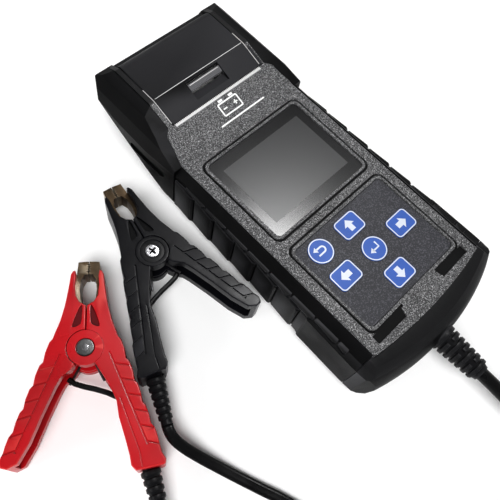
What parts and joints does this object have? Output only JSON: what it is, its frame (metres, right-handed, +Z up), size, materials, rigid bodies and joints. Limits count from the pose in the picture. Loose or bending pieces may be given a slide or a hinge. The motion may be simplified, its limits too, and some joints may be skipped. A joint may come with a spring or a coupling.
{
  "type": "handheld battery tester",
  "caption": "Handheld battery tester with a display, keypad and lidded strip printer, wired through a splitter to a pair of spring clamps",
  "frame": {"origin": "centre of the tester's flat underside, on the table", "axes": "+Y from the cable end towards the printer, +Z up out of the display, +X to the right as the keypad is read"},
  "size_m": [0.2806, 0.3627, 0.049],
  "materials": {
    "case_front": "fine moulded texture, dark grey with a slight metallic fleck",
    "case_rear": "moulded texture",
    "bumper_rubber": "satin over-moulded rubber",
    "end_rubber": "satin over-moulded rubber",
    "window": "tinted display window, switched off",
    "lcd": "display glass",
    "membrane": "fine-textured keypad overlay",
    "key_blue": "blue key with a pale border and a pale icon",
    "board": "green solder mask",
    "steel": "bright steel",
    "lid": "smooth dark plastic",
    "latch": "ribbed grey plastic",
    "printhead": "thermal print head on its heat sink",
    "platen_rubber": "ground rubber",
    "paper": "thermal paper",
    "bay": "moulded",
    "motor": "plated can",
    "pinion": "turned",
    "gear_white": "moulded gear",
    "cable": "smooth black jacket",
    "strain": "ribbed black strain relief",
    "black_plastic": "black moulded clamp",
    "red_plastic": "red moulded clamp",
    "bronze": "dark bronze with bright worn teeth",
    "spring_steel": "spring wire"
  },
  "bodies": {
    "tester": {"front_housing": "case_front", "rear_housing": "case_rear", "bumper_left": "bumper_rubber", "bumper_right": "bumper_rubber", "end_bumper": "end_rubber", "display_window": "window", "lcd_module": "lcd", "keypad_membrane": "membrane", "main_board": "board", "case_screws": "steel", "cover_hinge_pin": "steel", "tear_bar": "steel", "print_head": "printhead", "paper_bay": "bay", "feed_motor": "motor", "cable_gland": "strain", "main_cable": "cable", "cable_coil": "cable", "coil_tie": "strain", "cable_tail": "cable", "cable_splitter": "strain", "lead_black": "cable", "lead_red": "cable", "black_cable_arm": "black_plastic", "black_jaw_fixed": "bronze", "black_pivot_bolt": "steel", "black_spring": "spring_steel", "black_boot": "strain", "black_jumper": "cable", "red_cable_arm": "red_plastic", "red_jaw_fixed": "bronze", "red_pivot_bolt": "steel", "red_spring": "spring_steel", "red_boot": "strain", "red_jumper": "cable"},
    "cover": {"printer_cover": "lid", "platen_brackets": "steel", "latch_pin": "steel"},
    "latch": {"cover_latch": "latch"},
    "platen": {"platen_roller": "platen_rubber"},
    "roll": {"paper_roll": "paper"},
    "idler": {"idler_gear": "gear_white"},
    "pinion": {"motor_pinion": "pinion"},
    "black_handle": {"black_free_arm": "black_plastic", "black_jaw_free": "bronze"},
    "red_handle": {"red_free_arm": "red_plastic", "red_jaw_free": "bronze"},
    "key_enter_body": {"key_enter": "key_blue"},
    "key_up_body": {"key_up": "key_blue"},
    "key_down_body": {"key_down": "key_blue"},
    "key_left_body": {"key_left": "key_blue"},
    "key_right_body": {"key_right": "key_blue"},
    "key_back_body": {"key_back": "key_blue"}
  },
  "joints": [
    {"name": "cover_hinge", "type": "hinge", "parent": "tester", "child": "cover", "pos_m": [0, 0.0962, 0.0434], "axis": [-1, 0, 0], "range_deg": [0, 90]},
    {"name": "latch_hinge", "type": "hinge", "parent": "cover", "child": "latch", "pos_m": [0, 0.069, 0.0443], "axis": [-1, 0, 0], "range_deg": [0, 15], "stiffness_Nm_per_rad": 0.05, "springref_deg": -5.73},
    {"name": "platen_spin", "type": "hinge", "parent": "cover", "child": "platen", "pos_m": [0, 0.0622, 0.038], "axis": [1, 0, 0], "continuous": true},
    {"name": "idler_spin", "type": "hinge", "parent": "tester", "child": "idler", "pos_m": [0.0318, 0.0577, 0.03021], "axis": [1, 0, 0], "continuous": true},
    {"name": "pinion_spin", "type": "hinge", "parent": "tester", "child": "pinion", "pos_m": [0.0318, 0.05319, 0.02422], "axis": [1, 0, 0], "continuous": true},
    {"name": "roll_spin", "type": "hinge", "parent": "tester", "child": "roll", "pos_m": [0, 0.0815, 0.0248], "axis": [1, 0, 0], "continuous": true},
    {"name": "key_enter_press", "type": "slide", "parent": "tester", "child": "key_enter_body", "axis": [0, 0, -1], "range_m": [0, 0.0005], "stiffness_N_per_m": 800, "springref_m": -0.0001},
    {"name": "key_up_press", "type": "slide", "parent": "tester", "child": "key_up_body", "axis": [0, 0, -1], "range_m": [0, 0.0005], "stiffness_N_per_m": 800, "springref_m": -0.0001},
    {"name": "key_down_press", "type": "slide", "parent": "tester", "child": "key_down_body", "axis": [0, 0, -1], "range_m": [0, 0.0005], "stiffness_N_per_m": 800, "springref_m": -0.0001},
    {"name": "key_left_press", "type": "slide", "parent": "tester", "child": "key_left_body", "axis": [0, 0, -1], "range_m": [0, 0.0005], "stiffness_N_per_m": 800, "springref_m": -0.0001},
    {"name": "key_right_press", "type": "slide", "parent": "tester", "child": "key_right_body", "axis": [0, 0, -1], "range_m": [0, 0.0005], "stiffness_N_per_m": 800, "springref_m": -0.0001},
    {"name": "key_back_press", "type": "slide", "parent": "tester", "child": "key_back_body", "axis": [0, 0, -1], "range_m": [0, 0.0005], "stiffness_N_per_m": 800, "springref_m": -0.0001},
    {"name": "black_clamp_open", "type": "hinge", "parent": "tester", "child": "black_handle", "pos_m": [-0.0775, 0.0195, 0.011], "axis": [0, 0, -1], "range_deg": [0, 20], "stiffness_Nm_per_rad": 1.2, "springref_deg": -14.32, "deforming": ["black_spring", "black_jumper"]},
    {"name": "red_clamp_open", "type": "hinge", "parent": "tester", "child": "red_handle", "pos_m": [-0.131, 0.003, 0.011], "axis": [0, 0, 1], "range_deg": [0, 20], "stiffness_Nm_per_rad": 1.2, "springref_deg": -14.32, "deforming": ["red_spring", "red_jumper"]}
  ],
  "couplings": [
    {"joint": "idler_spin", "follows": "platen_spin", "ratio": -0.8},
    {"joint": "pinion_spin", "follows": "platen_spin", "ratio": 1.6}
  ]
}
